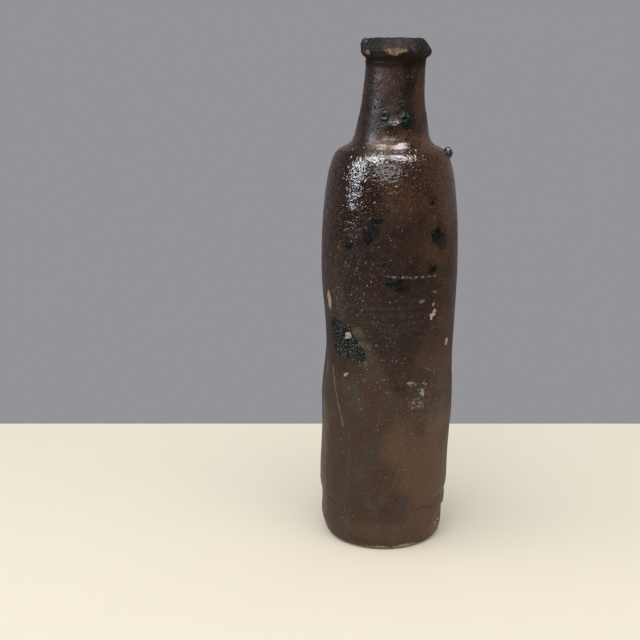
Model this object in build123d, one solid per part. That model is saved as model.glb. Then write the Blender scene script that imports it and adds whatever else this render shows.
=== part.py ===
"""Tall stoneware sake bottle, built up from thrown clay sections under an iron glaze.

Frame: millimetres, +Z up, origin at the centre of the flat base. The front faces -Y.
The clay was made in sections, and a film of slip fills the joint between each two.
The coats of glaze are thin closed shells outside and inside the clay.
Neighbouring pieces are made from the same rings, so they meet with no gap and no overlap.
"""

import math
import os

from build123d import *

# ---- driving dimensions ----
HEIGHT = 300.0
WALL = 5.4            # clay wall of the body
FLOOR = 7.5           # thickness of the clay base
GLAZE = 0.6           # outer coat
LINER = 0.35          # inner coat
SLIP = 0.5            # film of slip in each joint
BARE_EDGE = 1.6       # the outer coat stops this far above the resting face
RIM_BASE = 288.0      # height where the neck ends and the folded rim begins
NECK_X = 4.2          # how far the top of the neck leans towards +X
THROAT_R = 11.5       # clay bore of the neck
THROAT_LOW, THROAT_HIGH = 262.0, 294.0
RING_SPACING = 3.5    # distance between the rings of a hull, along its profile
FINE = 0.5            # spacing of the points that describe a smooth curve
REACH = 60.0          # more than any radius of the bottle

# Outside of the glazed bottle from the base to the neck's top, as (height, radius)
OUTSIDE = [
    (0, 33.5), (3, 34.9), (12, 37.0), (22, 37.1),                      # foot
    (28, 37.9), (36, 39.1), (65, 39.0), (90, 39.7), (120, 38.2),       # lower wall and waist
    (165, 40.3), (198, 39.4), (222, 36.6), (232.5, 33.7),              # upper wall
    (237.2, 30.7), (239.3, 26.4), (243, 22.7),                         # shoulder
    (252, 20.4), (266, 17.9), (RIM_BASE, 16.8),                        # neck
]
# Sideways lean of the bottle's axis, as (height, x)
LEAN = [
    (0, 0.0), (13, -0.7), (40, 0.1), (85, 1.8), (124, 3.0), (165, 2.1), (240, 2.4), (265, 3.1), (RIM_BASE, NECK_X),
]
HOLLOW_LEAN = LEAN[:-2] + [(THROAT_LOW, NECK_X)]

# Hollow of the clay from the floor to the throat, as (height, radius)
HOLLOW = [
    (FLOOR, 27.5), (10, 30.2), (16, 31.5), (36, 39.1 - WALL), (65, 39.0 - WALL), (90, 39.7 - WALL),
    (120, 38.2 - WALL), (165, 40.3 - WALL), (198, 39.4 - WALL), (218, 31.2), (228, 27.2), (234.5, 21.5),
    (241, 16.6), (251, 13.2), (THROAT_LOW, THROAT_R),
]

# Clay of the folded rim, as (height, radius): up the outside, over the lip and down into the throat
RIM = [
    (RIM_BASE, 16.2), (290.0, 16.9), (291.5, 18.6), (292.7, 19.3), (294.6, 18.7), (297.0, 17.1),
    (298.8, 15.5), (HEIGHT - GLAZE, 14.3), (298.9, 13.2), (297.2, 12.3), (THROAT_HIGH, THROAT_R),
]
RIM_COAT = [GLAZE] * 8 + [0.5, 0.4, LINER]   # the coat thins as it runs into the throat
RIM_SLOPE = slice(3, 7)                      # the sloping face between the rim's widest edge and its top

# Each clay section above the base, with the height of the joint under it on the outside,
# and how far the joint's bevel rises through the wall
JOINTS = [
    ("foot_band", FLOOR, 0.0), ("lower_wall", 28.0, 3.0), ("upper_wall", 112.0, 3.0),
    ("shoulder_cap", 226.0, 3.0), ("neck_tube", 244.0, 2.5),
]

# Things fused to the outside, as (azimuth in degrees from the front towards +X, height, width, tall, thick)
SLAG_SPOTS = [
    (-14, 202, 5.0, 6.0, 0.7), (-21, 193, 4.6, 8.5, 0.9), (-38, 187, 5.6, 5.4, 0.7), (1, 167, 7.4, 4.6, 0.9),
    (39, 193, 7.5, 6.5, 0.7), (34, 173, 5.0, 4.6, 0.8), (34, 211, 2.4, 2.2, 0.6), (-29, 222, 3.6, 3.4, 0.6),
    (118, 205, 5.2, 4.4, 0.8), (151, 171, 4.2, 6.0, 0.7), (-142, 184, 5.8, 4.8, 0.8), (172, 120, 4.0, 4.4, 0.7),
]
GLASS_BEADS = [(15, 256.5, 7.6, 8.2, 1.1), (-12, 257.5, 4.4, 4.4, 0.7)]
CLAY_CRUMBS = [
    (-41, 133, 4.0, 4.4, 2.6), (36, 146.5, 3.0, 4.8, 1.2), (35, 152.5, 2.2, 2.0, 1.0),
    (56, 127.5, 2.0, 3.4, 1.2), (-43, 109, 2.6, 2.2, 1.0),
]
FOOT_GRIT = [(58, 11, 2.2, 3.0, 1.2), (63, 7, 2.6, 3.4, 1.4), (57, 5, 2.0, 2.2, 1.0), (66, 12, 1.8, 2.6, 1.1)]
SHOULDER_LUMP = (86, 235.4, 6.4, 7.2, 3.4)
RIM_LUMP = (-84, 295.2, 6.0, 7.0, 2.6)
# Crust of slag where another pot touched the wall
SCAR = (-46, 130.5)
SCAR_SIZE = (27.0, 19.0)
SCAR_THICK = 0.8
SCAR_TILT = -22       # degrees; its right end is lower
# Bare places where the glaze and a little clay have flaked off, in the same terms as the fused things
WALL_CHIP = (-66, 151.5, 4.6, 10.5, 1.7)
RIM_CHIPS = [(-4, 292.6, 12.0, 3.2, 1.6), (-60, 292.4, 3.6, 2.8, 1.5)]


# ---- curves, as lists of (height, radius) or (height, x) ----
def value_at(table, s):
    """Value of a table of (s, value) rows, on the straight line between its rows."""
    for (s0, a), (s1, b) in zip(table, table[1:]):
        if s <= s1:
            return a + (b - a) * (s - s0) / (s1 - s0)
    return table[-1][1]


def eased(table):
    """The table with rows added, so that it has no corner at its own rows."""
    rows = []
    for (z0, a), (z1, b) in zip(table, table[1:]):
        for step in range(8):
            t = step / 8
            rows.append((z0 + (z1 - z0) * t, a + (b - a) * t * t * (3 - 2 * t)))
    return rows + [table[-1]]


def travel(points):
    """Distance along a line of points, at each point."""
    reach = [0.0]
    for p, q in zip(points, points[1:]):
        reach.append(reach[-1] + math.dist(p, q))
    return reach


def smooth(profile):
    """Finely spaced points on the smooth curve through a profile."""
    at = travel(profile)
    slopes = []
    for i in range(len(profile)):
        a, b = max(i - 1, 0), min(i + 1, len(profile) - 1)
        slopes.append([(profile[b][k] - profile[a][k]) / (at[b] - at[a]) for k in (0, 1)])
    points = []
    for i in range(len(profile) - 1):
        h = at[i + 1] - at[i]
        steps = math.ceil(h / FINE)
        for step in range(steps):
            t = step / steps
            weights = (2 * t**3 - 3 * t**2 + 1, (t**3 - 2 * t**2 + t) * h, 3 * t**2 - 2 * t**3, (t**3 - t**2) * h)
            corners = (profile[i], slopes[i], profile[i + 1], slopes[i + 1])
            points.append(tuple(sum(w * c[k] for w, c in zip(weights, corners)) for k in (0, 1)))
    return points + [tuple(profile[-1])]


def shifted(profile, depths):
    """A profile moved along its normals, outwards where the depth is positive; its ends keep their height."""
    moved = []
    for i, ((z, r), depth) in enumerate(zip(profile, depths)):
        z0, r0 = profile[max(i - 1, 0)]
        z1, r1 = profile[min(i + 1, len(profile) - 1)]
        length = math.hypot(z1 - z0, r1 - r0)
        up, out = (r0 - r1) / length, (z1 - z0) / length
        if i in (0, len(profile) - 1):
            up, out = 0.0, math.copysign(1.0, out)
        moved.append((z + depth * up, r + depth * out))
    return moved


LEAN = eased(LEAN)
HOLLOW_LEAN = eased(HOLLOW_LEAN)
outside = smooth(OUTSIDE)
crust = shifted(outside, [SCAR_THICK] * len(outside))
clay = shifted(outside, [-GLAZE] * len(outside))
hollow = smooth(HOLLOW)
lined = shifted(hollow, [-LINER] * len(hollow))


# ---- hulls: round sections stacked along a curve, on an axis that leans ----
def ring(curve, lean, z):
    return Wire.make_circle(value_at(curve, z), Plane((value_at(lean, z), 0, z)))


def stretch(curve, low, high, lean=LEAN):
    """Solid of a hull from one height to another, through rings evenly spaced along the curve."""
    points = [(low, value_at(curve, low))]
    points += [p for p in curve if low < p[0] < high]
    points += [(high, value_at(curve, high))]
    reach = travel(points)
    heights = [(s, p[0]) for s, p in zip(reach, points)]
    count = max(1, round(reach[-1] / RING_SPACING))
    return Solid.make_loft([ring(curve, lean, value_at(heights, reach[-1] * i / count)) for i in range(count + 1)])


def curved_faces(solid):
    return solid.faces().filter_by(GeomType.PLANE, reverse=True)


def sides(curve, stops, lean=LEAN):
    """Side faces of a hull, one for each stretch from one stop to the next."""
    faces = []
    for low, high in zip(stops, stops[1:]):
        faces += curved_faces(stretch(curve, low, high, lean))
    return faces


def throat_side(radius, low, high):
    """The straight bore of the neck."""
    return curved_faces(Solid.make_cylinder(radius, high - low, Plane((NECK_X, 0, low))))


def bed(z, rise=0.0):
    """Face across the clay wall from height z on the outside to z + rise at the hollow."""
    outer_ring, inner_ring = ring(clay, LEAN, z), ring(hollow, HOLLOW_LEAN, z + rise)
    if rise:
        return curved_faces(Solid.make_loft([outer_ring, inner_ring], ruled=True))[0]
    return Face(outer_ring, [inner_ring])


def turned(outline):
    """Solid of revolution about the neck's axis, of the area inside a closed outline of (radius, height)."""
    return revolve(Pos(NECK_X, 0, 0) * Plane.XZ * make_face(outline), Axis((NECK_X, 0, 0), (0, 0, 1)), 360)


# ---- frames and small shapes on the surface ----
def frame_at(azimuth, z, x, radius):
    """Frame with X to the right, Y up and Z outwards, at a radius from the upright axis through x."""
    a = math.radians(azimuth)
    outward = Vector(math.sin(a), -math.cos(a), 0)
    return Plane(Vector(x, 0, z) + outward * radius, x_dir=(math.cos(a), math.sin(a), 0), z_dir=outward)


def on_wall(azimuth, z):
    return frame_at(azimuth, z, value_at(LEAN, z), value_at(outside, z))


def on_rim(azimuth, z):
    """Frame on the sloping outer face of the rim."""
    return frame_at(azimuth, z, NECK_X, value_at(shifted(RIM, RIM_COAT)[RIM_SLOPE], z))


def pebble(frame, width, tall, thick):
    """Flattened ball centred on the frame."""
    return frame * scale(Sphere(1), by=(width / 2, tall / 2, thick))


def fused_to_wall(marks):
    """Flattened balls on the wall, each without the part that would lie inside the bottle."""
    found = []
    for azimuth, z, *size in marks:
        wall = next(solid for low, high, solid in stretches if low < z < high)
        found.append(pebble(on_wall(azimuth, z), *size) - wall)
    return Compound(found)


# ---- pieces ----
def base_disc():
    """Solid floor of clay, flat underneath."""
    below = Face(ring(clay, LEAN, 0))
    above = Face(ring(clay, LEAN, FLOOR))
    return Solid(Shell(sides(clay, [0, BARE_EDGE, FLOOR]) + [below, above]))


def slip_film(z, rise):
    """Film of slip that fills the joint at height z."""
    faces = sides(clay, [z, z + SLIP]) + sides(hollow, [z + rise, z + rise + SLIP], HOLLOW_LEAN)
    return Solid(Shell(faces + [bed(z, rise), bed(z + SLIP, rise)]))


def wall_section(low, low_rise, high, high_rise):
    """Clay wall from the slip of one joint up to the next joint."""
    bottom, top = low + low_rise + SLIP, high + high_rise
    faces = sides(clay, [low + SLIP, high]) + sides(hollow, [bottom, min(top, THROAT_LOW)], HOLLOW_LEAN)
    if top > THROAT_LOW:
        faces += throat_side(THROAT_R, THROAT_LOW, top)
    return Solid(Shell(faces + [bed(low + SLIP, low_rise), bed(high, high_rise)]))


def wall_coat():
    """Outer coat of glaze on the body and the neck."""
    joints = [z for _, z, _ in JOINTS]
    clay_stops = sorted([BARE_EDGE, RIM_BASE] + joints + [z + SLIP for z in joints])
    faces = sides(outside, [BARE_EDGE] + joints[1:] + [RIM_BASE]) + sides(clay, clay_stops)
    ends = [Face(ring(outside, LEAN, z), [ring(clay, LEAN, z)]) for z in (BARE_EDGE, RIM_BASE)]
    return Solid(Shell(faces + ends))


def liner():
    """Inner coat of glaze, from the floor to the throat."""
    beds = [z + rise for _, z, rise in JOINTS]
    clay_stops = sorted(beds + [z + SLIP for z in beds] + [THROAT_LOW])
    faces = sides(hollow, clay_stops, HOLLOW_LEAN) + throat_side(THROAT_R, THROAT_LOW, THROAT_HIGH)
    faces += sides(lined, [FLOOR + LINER] + beds[1:] + [THROAT_LOW], HOLLOW_LEAN)
    faces += throat_side(THROAT_R - LINER, THROAT_LOW, THROAT_HIGH)
    floors = [Face(ring(hollow, HOLLOW_LEAN, FLOOR)), Face(ring(lined, HOLLOW_LEAN, FLOOR + LINER))]
    end = Face(ring(hollow, HOLLOW_LEAN, THROAT_HIGH), [ring(lined, HOLLOW_LEAN, THROAT_HIGH)])
    return Solid(Shell(faces + floors + [end]))


def rim_solids():
    """The folded rim of clay, its coat of glaze, the slip under it, and the whole rim filled in."""
    lip = [(r, z) for z, r in RIM]
    top = [(r, z) for z, r in shifted(RIM, RIM_COAT)]
    clay_edge, coat_edge = Spline(*lip), Spline(*top)
    slip_top = RIM_BASE + SLIP
    whole = turned(clay_edge + Polyline(lip[-1], (THROAT_R, RIM_BASE), lip[0]))
    coat = turned(clay_edge + Line(lip[-1], top[-1]) + coat_edge + Line(top[0], lip[0]))
    filled = turned(coat_edge + Polyline(top[-1], (0, THROAT_HIGH), (0, RIM_BASE), top[0]))
    seat = Pos(NECK_X, 0, (RIM_BASE - 1 + slip_top) / 2) * Cylinder(REACH, SLIP + 1)
    return whole - seat, coat, whole & seat, filled


def scar_patch():
    """Tilted oval crust on the wall."""
    low, high, wall = next(row for row in stretches if row[0] < SCAR[1] < row[1])
    oval = on_wall(*SCAR) * Rot(0, 0, SCAR_TILT) * extrude(Ellipse(*[side / 2 for side in SCAR_SIZE]), 12, both=True)
    return (stretch(crust, low, high) & oval) - wall


# Each stretch of the outside between two joints, as (low, high, solid)
stops = [BARE_EDGE] + [z for _, z, _ in JOINTS[1:]] + [RIM_BASE]
stretches = [(low, high, stretch(outside, low, high)) for low, high in zip(stops, stops[1:])]

parts = {"base_disc": base_disc()}
tops = [(z, rise) for _, z, rise in JOINTS[1:]] + [(RIM_BASE, 0.0)]
for (name, low, low_rise), (high, high_rise) in zip(JOINTS, tops):
    parts[name] = wall_section(low, low_rise, high, high_rise)
parts["body_glaze"] = wall_coat()
parts["inner_glaze"] = liner()
parts["mouth_rim"], parts["rim_glaze"], rim_slip, filled_rim = rim_solids()
parts["joint_slip"] = Compound([slip_film(z, rise) for _, z, rise in JOINTS] + rim_slip.solids())

for azimuth, z, *size in RIM_CHIPS:
    chip = pebble(on_rim(azimuth, z), *size)
    parts["mouth_rim"] -= chip
    parts["rim_glaze"] -= chip
wall_chip = pebble(on_wall(*WALL_CHIP[:2]), *WALL_CHIP[2:])
parts["upper_wall"] -= wall_chip
parts["body_glaze"] -= wall_chip

parts["slag_spots"] = fused_to_wall(SLAG_SPOTS)
parts["glass_beads"] = fused_to_wall(GLASS_BEADS)
parts["clay_crumbs"] = fused_to_wall(CLAY_CRUMBS)
parts["foot_grit"] = fused_to_wall(FOOT_GRIT)
parts["shoulder_kiln_lump"] = fused_to_wall([SHOULDER_LUMP])
parts["rim_kiln_lump"] = pebble(on_rim(*RIM_LUMP[:2]), *RIM_LUMP[2:]) - filled_rim
first_crumb = pebble(on_wall(*CLAY_CRUMBS[0][:2]), *CLAY_CRUMBS[0][2:])
parts["scar_slag_patch"] = scar_patch() - first_crumb

os.makedirs("parts", exist_ok=True)
for name, shape in parts.items():
    export_step(shape, f"parts/{name}.step")
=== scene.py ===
"""Looks of the stoneware sake bottle: glaze skins, fused slag, the worn base, materials, light and camera.

The glaze skins are rebuilt as fine grids over the CAD coats, and then get throwing rings, ripples, pits and
chips as real relief. Masks on the same grids tell the materials where the glaze is black, red, dry or bare,
and where shade, light and a reflection are painted on it.
Lengths are millimetres in the surface code and become metres when a mesh is made.
"""

import copy
import itertools
import math

import bmesh
import bpy
import numpy as np
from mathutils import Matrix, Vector
from mathutils.bvhtree import BVHTree

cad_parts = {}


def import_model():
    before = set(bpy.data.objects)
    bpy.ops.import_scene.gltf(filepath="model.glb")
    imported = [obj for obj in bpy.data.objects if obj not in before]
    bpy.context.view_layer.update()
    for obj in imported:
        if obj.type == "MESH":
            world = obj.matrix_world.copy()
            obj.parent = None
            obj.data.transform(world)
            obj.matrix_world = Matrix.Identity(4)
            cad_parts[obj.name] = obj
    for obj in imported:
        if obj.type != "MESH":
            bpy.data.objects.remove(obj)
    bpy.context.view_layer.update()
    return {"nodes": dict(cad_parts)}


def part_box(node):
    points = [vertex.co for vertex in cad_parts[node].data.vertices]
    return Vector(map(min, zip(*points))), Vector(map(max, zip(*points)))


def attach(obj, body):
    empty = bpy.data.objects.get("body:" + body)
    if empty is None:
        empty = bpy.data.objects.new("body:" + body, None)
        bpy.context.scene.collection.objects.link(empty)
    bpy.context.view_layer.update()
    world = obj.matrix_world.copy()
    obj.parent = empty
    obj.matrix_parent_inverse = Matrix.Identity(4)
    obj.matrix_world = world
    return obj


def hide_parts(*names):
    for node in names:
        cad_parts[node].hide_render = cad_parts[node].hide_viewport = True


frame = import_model()
nodes = frame["nodes"]

MM = 0.001
COLUMNS = 640  # grid columns round the bottle
STEP = 0.38  # grid spacing up the bottle
COAT = 0.6  # thickness of the outer coat, as in the CAD model
DEEPEST = -0.42  # relief goes no deeper, so that the coat stays closed
MEAN_LIFT = 0.12  # keeps the relief's middle height above the CAD surface
CREASE_LINE = 26.6  # height of the crease above the foot
DRY_LINE = 128.0  # the glaze is glossy above this height and dry below
RIM_TURNS = np.arange(-78, 179, 1.5)  # rays that find the rim's coat, from its underside to the throat
RIM_RAY = 0.015  # where they start, in metres: the last one inside the open mouth
RIM_HUB = (0.0152, 0.006)  # their aim, in metres: out from the axis and below the lip
AZIMUTHS = np.linspace(-180, 180, COLUMNS, endpoint=False)


# ---------------------------------------------------------------- noise

def hashed(cells, seed):
    """A repeatable value from -1 to 1 for each whole-number cell."""
    h = cells[..., 0] * 73856093 ^ cells[..., 1] * 19349663 ^ cells[..., 2] * 83492791 ^ seed * 2654435761
    h = (h & 0xFFFFFFFF) * 1274126177 & 0xFFFFFFFF
    h = (h ^ h >> 15) * 2246822519 & 0xFFFFFFFF
    return ((h ^ h >> 13) & 0xFFFF) / 32767.5 - 1.0


def noise(points, size, seed=0):
    """Smooth noise from -1 to 1, with bumps about one size across. The size may differ by axis."""
    p = points / size + seed * 7.31
    cells = np.floor(p).astype(np.int64)
    t = p - cells
    t = t * t * (3 - 2 * t)
    total = 0.0
    for corner in itertools.product((0, 1), repeat=3):
        weight = np.prod(np.where(corner, t, 1 - t), axis=-1)
        total = total + weight * hashed(cells + corner, seed)
    return total


def fractal(points, size, seed=0, octaves=3):
    """Noise with finer and weaker noise added."""
    total = 0.0
    for k in range(octaves):
        total = total + noise(points, size / 2**k, seed + k) * 0.55**k
    return total


def step_up(x, low, high):
    """0 below low, 1 above high and smooth between."""
    t = np.clip((x - low) / (high - low), 0, 1)
    return t * t * (3 - 2 * t)


def bell(x, width):
    """1 where x is 0, fading on both sides."""
    return np.exp(-(x / width)**2)


# ---------------------------------------------------------------- surfaces

def cast_profile(node, heights):
    """Centre x and radius of a CAD node's outside at each height, found by rays that come in along X."""
    tree = BVHTree.FromObject(nodes[node], bpy.context.evaluated_depsgraph_get())
    centres, radii = [], []
    for z in heights:
        right = tree.ray_cast(Vector((1, 0, z * MM)), Vector((-1, 0, 0)))[0].x / MM
        left = tree.ray_cast(Vector((-1, 0, z * MM)), Vector((1, 0, 0)))[0].x / MM
        centres.append((right + left) / 2)
        radii.append((right - left) / 2)
    return np.array(centres), np.array(radii)


def softened(values, reach=2.4, spacing=0.25):
    """The values with the facets of the CAD mesh averaged out."""
    offsets = np.arange(-reach, reach + spacing, spacing)
    weights = bell(offsets, reach / 2.2)
    pad = len(offsets) // 2
    first = 2 * values[0] - values[pad:0:-1]
    last = 2 * values[-1] - values[-2:-pad - 2:-1]
    return np.convolve(np.concatenate([first, values, last]), weights / weights.sum(), "valid")


class Skin:
    """A surface of rings round a leaning axis, along a profile of (x centre, radius, height)."""

    def __init__(self, centre, radius, height, step):
        travel = np.concatenate([[0], np.cumsum(np.hypot(np.diff(radius), np.diff(height)))])
        self.s = np.linspace(0, travel[-1], round(travel[-1] / step) + 1)
        self.centre = np.interp(self.s, travel, centre)
        self.radius = np.interp(self.s, travel, radius)
        self.height = np.interp(self.s, travel, height)
        slope_r, slope_z = np.gradient(self.radius, self.s), np.gradient(self.height, self.s)
        length = np.hypot(slope_r, slope_z)
        self.out, self.up = slope_z / length, -slope_r / length

    def at(self, azimuth, s, lift=0.0):
        """Points at an azimuth in degrees and a distance along the profile, lifted along the normal."""
        a = np.radians(azimuth)
        r = np.interp(s, self.s, self.radius) + lift * np.interp(s, self.s, self.out)
        z = np.interp(s, self.s, self.height) + lift * np.interp(s, self.s, self.up)
        return np.stack([np.interp(s, self.s, self.centre) + r * np.sin(a), -r * np.cos(a), z], axis=-1)

    def along(self, height):
        """Distance along the profile at a height, on a profile that only rises."""
        return float(np.interp(height, self.height, self.s))


def body_skin():
    """The outside of the coat on the body and neck."""
    low, high = [corner.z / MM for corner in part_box("body_glaze")]
    heights = np.arange(low + 0.02, high - 0.02, 0.25)
    centre, radius = cast_profile("body_glaze", heights)
    return Skin(softened(centre), softened(radius), heights, STEP)


def rim_skin():
    """The rim's outside, over the lip and into the throat, found by rays towards the middle of its fold."""
    tree = BVHTree.FromObject(nodes["rim_glaze"], bpy.context.evaluated_depsgraph_get())
    axis = body.centre[-1]
    hub = Vector((axis * MM + RIM_HUB[0], 0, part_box("rim_glaze")[1].z - RIM_HUB[1]))
    found = []
    for turn in np.radians(RIM_TURNS):
        way = Vector((math.cos(turn), 0, math.sin(turn)))
        found.append(tree.ray_cast(hub + way * RIM_RAY, -way)[0] / MM)
    x = softened(np.array([p.x for p in found]), reach=0.6)
    z = softened(np.array([p.z for p in found]), reach=0.6)
    return Skin(np.full(len(x), axis), x - axis, z, STEP)


# ---------------------------------------------------------------- marks on the glaze
# A place is an azimuth in degrees from the front (-Y) towards +X, and a height in millimetres. A row with more
# numbers is an oval: azimuth, height, width and tallness, and then its strength or its thickness.

class Place:
    """Millimetre coordinates on the surface round one place."""

    def __init__(self, azimuth, height, points, azimuths):
        centre = np.interp(height, body.height, body.centre)
        radius = np.hypot(points[..., 0] - centre, points[..., 1])
        away = (azimuths - azimuth + 180) % 360 - 180
        self.across, self.up = np.radians(away) * radius, points[..., 2] - height

    def oval(self, width, tall):
        """Distance from the place, where 1 is the edge of an oval."""
        return np.hypot(self.across / (width / 2), self.up / (tall / 2))


def ovals(table, points, azimuths):
    """For each row of a table: distance from the oval's middle, 1 at its edge, and the row's last numbers."""
    for azimuth, height, width, tall, *rest in table:
        yield Place(azimuth, height, points, azimuths).oval(width, tall), *rest


WALL_CHIP = (-66, 151.2, 5.6, 11.8)
WALL_CHIP_DEPTH = 1.1
RIM_CHIPS = [(-3, 294.0, 13.5, 2.8), (-7, 293.2, 6.5, 4.4), (-56, 292.8, 4.4, 3.0)]
RIM_CHIP_DEPTH = 0.55
SCRATCH = [(-62, 111), (-57, 103), (-50, 92), (-46, 84), (-43, 77)]
PITTED_LINE = [(-15, 175.8), (-9, 171.6), (-2, 170.3), (36, 169.2)]
DOT_SIZES = (0.7, 1.0, 0.4, 1.1, 0.8)  # of the pits along that line, over and over
BLACK_MARKS = [
    (4, 165.6, 9.0, 8.0, 1.0), (7.5, 162.3, 9.5, 9.0, 1.0), (-30, 189, 7, 7, 0.4), (-17, 196.5, 6, 12, 0.95),
    (44, 187, 10, 12, 0.6), (25, 241.5, 4.5, 3.5, 0.9), (19, 245, 5, 2.5, 0.7),
]
# Tan smears; the two tall strips at -76 degrees, on the lower left edge, are a painted table reflection.
TAN_SMEARS_AND_EDGE_REFLECTION = [
    (-32, 136, 10, 6, 0.8), (-27, 129, 10, 5, 0.6), (-22, 121, 14, 9, 0.3), (-76, 50, 14, 90, 0.9),
    (-76, 100, 10, 40, 0.5), (-50, 165, 14, 50, 0.45), (160, 60, 50, 40, 0.5), (50, 84, 22, 40, 0.4),
]
GLAZE_FOLDS = [(2.5, 252.8, 11.5, 7.5, 1.35), (-37, 206.5, 7.5, 5.0, 0.45)]
DULL_PLACES = [
    (-40, 250, 16, 16, 0.75), (-30, 241, 7, 7, 0.85), (-33, 258.5, 8, 5, 0.5), (-30, 274, 6, 4, 0.5),
    (-7.5, 239.5, 4, 9, 0.85), (2, 277, 18, 26, 0.5),
]
THINNED = [(-88, 152, 70, 60, 0.4), (88, 108, 70, 60, 0.4), (-88, 48, 70, 60, 0.4)]
TRIM_LINE = [(-22, 17.6), (12, 15.4)]
SCUFFS = [
    (16, 106.5, 5, 2.0, 0.9), (21, 105.2, 8, 1.6, 0.6), (30, 104.5, 2.4, 4.0, 0.9), (28, 100, 2.6, 6.5, 0.8),
    (24, 94, 11, 7, 0.42), (20, 91, 3, 3, 0.8), (38, 159.5, 2.8, 3, 0.7), (25, 155, 4, 2.5, 0.4),
    (37, 150.5, 1.2, 7, 0.5),
]
NECK_STREAKS = [
    (20, 285, 8, 16, 0.75), (24, 270, 10, 26, 0.85), (12, 263, 8, 12, 0.6), (-44, 262, 13, 50, 0.6),
]
DARK_PATCHES = [
    (-45, 185, 44, 110, 0.75), (8, 145, 36, 80, 0.8), (34, 242, 9, 6, 0.9), (-20, 196, 16, 30, 0.3),
    (44, 190, 14, 24, 0.7), (-52, 228, 26, 34, 0.95), (150, 190, 70, 90, 0.6), (-130, 150, 50, 120, 0.6),
]
# Reddish patches. The wide one low on the right, at 42 degrees, is painted light on that side.
RED_PATCHES_AND_PAINTED_LIGHT = [
    (8, 212, 44, 30, 0.6), (52, 205, 56, 90, 0.85), (54, 135, 44, 90, 0.7), (-66, 175, 12, 60, 0.6),
    (38, 268, 22, 40, 0.7), (110, 160, 60, 140, 0.8), (-100, 200, 40, 90, 0.6), (42, 54, 62, 90, 1.0),
    (-26, 276, 16, 26, 0.8), (0, 14, 60, 14, 0.5), (170, 80, 60, 80, 0.7),
]
SPECKLED = [
    (-42, 172, 60, 90, 1.0), (-25, 128, 40, 60, 0.6), (0, 100, 44, 46, 0.6), (30, 100, 22, 30, 0.9),
    (0, 224, 60, 26, 0.5), (-20, 205, 30, 30, 0.7), (170, 150, 80, 90, 0.8), (4, 274, 22, 30, 1.0),
]


def patches(table, points, azimuths, wobble):
    """Mask of soft ovals with ragged edges."""
    total = np.zeros(azimuths.shape)
    for oval, strength in ovals(table, points, azimuths):
        total = np.maximum(total, strength * step_up(1.25 - oval + 0.45 * wobble, 0, 0.9))
    return total


def line_mask(stops, width, points, azimuths):
    """1 on a line through places, fading to 0 at half its width."""
    nearest = np.full(azimuths.shape, 1e3)
    for (azimuth, height), (next_azimuth, next_height) in zip(stops, stops[1:]):
        here = Place(azimuth, height, points, azimuths)
        radius = np.interp(height, body.height, body.radius)
        dx, dz = math.radians(next_azimuth - azimuth) * radius, next_height - height
        t = np.clip((here.across * dx + here.up * dz) / (dx * dx + dz * dz), 0, 1)
        nearest = np.minimum(nearest, np.hypot(here.across - t * dx, here.up - t * dz))
    return 1 - step_up(nearest, width * 0.25, width * 0.6)


def chip_depth(chips, points, azimuths, depth):
    """How deep the flaked places are, and a mask of them."""
    nearest = np.minimum.reduce([oval for (oval,) in ovals(chips, points, azimuths)])
    inside = 1 - nearest + 0.16 * noise(points, 1.3, 41)
    return depth * np.sqrt(np.clip(inside, 0, 1)), step_up(inside, 0.0, 0.08)


PIT_DEPTH = 0.22  # of its width


def crater_field(shape, count, smallest, largest, seed, wanted):
    """Depth of many small round pits on a grid. `wanted` is the chance of keeping a pit at each grid point."""
    chance = np.random.default_rng(seed)
    depth = np.zeros(shape)
    rows, columns = shape
    for _ in range(count):
        row, column = int(chance.integers(rows)), int(chance.integers(columns))
        size = smallest + (largest - smallest) * chance.random()**3
        if chance.random() > wanted[row, column]:
            continue
        reach = max(1, math.ceil(size / STEP))
        near_rows = np.arange(max(0, row - reach), min(rows, row + reach + 1))
        near_columns = np.arange(column - reach, column + reach + 1)
        distance = np.hypot((near_rows[:, None] - row), (near_columns[None, :] - column)) * STEP / (size / 2)
        bowl = np.clip(1 - distance**2, 0, 1) - 0.25 * bell(distance - 1.25, 0.3)
        window = np.ix_(near_rows, near_columns % columns)
        depth[window] = np.maximum(depth[window], bowl * size * PIT_DEPTH)
    return depth


def glaze_gloss(z, points, azimuths):
    """Gloss from 0 to 1: dry on the lower wall, glossy above and duller again up the neck."""
    uneven = z + 14 * fractal(points, 40, 3) + 8 * np.cos(np.radians(azimuths + 40))
    gloss = 0.38 * step_up(uneven, DRY_LINE - 32, DRY_LINE + 26) + 0.62 * step_up(uneven, 194, 214)
    return gloss * (1 - 0.62 * step_up(z, 244, 256))


def tool_marks(z, points, azimuths):
    """Throwing rings that spiral up the wall and fade in places, and long smoothing strokes low on it."""
    turn = 2 * np.pi * (z / 4.6 + azimuths / 360) + 1.6 * noise(points, (60, 60, 9), 21)
    rings = np.sin(turn) * (0.3 + 0.7 * noise(points, (30, 30, 18), 22)) * 0.040
    strokes = 0.12 * noise(points, (7, 7, 40), 23) + 0.05 * noise(points, (2.6, 2.6, 18), 24)
    strokes = strokes * (1 - step_up(z, 105, 150)) * step_up(z, 24, 34)
    return rings * (0.35 + 0.65 * step_up(z, 120, 165)) + strokes


def glaze_waves(z, points, pebbled):
    """Swells, ripples that grow up the neck, a pebbled orange peel, and runs below the shoulder's edge."""
    swells = 0.16 * noise(points, 26, 25) + 0.10 * noise(points, 11, 26)
    ripples = 0.050 * noise(points, 3.4, 27) + 0.034 * noise(points, 1.7, 28)
    ripples = ripples * (1 + 1.1 * step_up(z, 250, 256))
    peel = 0.075 * noise(points, (1.05, 1.05, 0.9), 29) * pebbled + 0.012 * noise(points, 0.8, 34)
    return swells + ripples + peel + 0.10 * noise(points, (4, 4, 9), 35) * bell(z - 232, 9)


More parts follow.
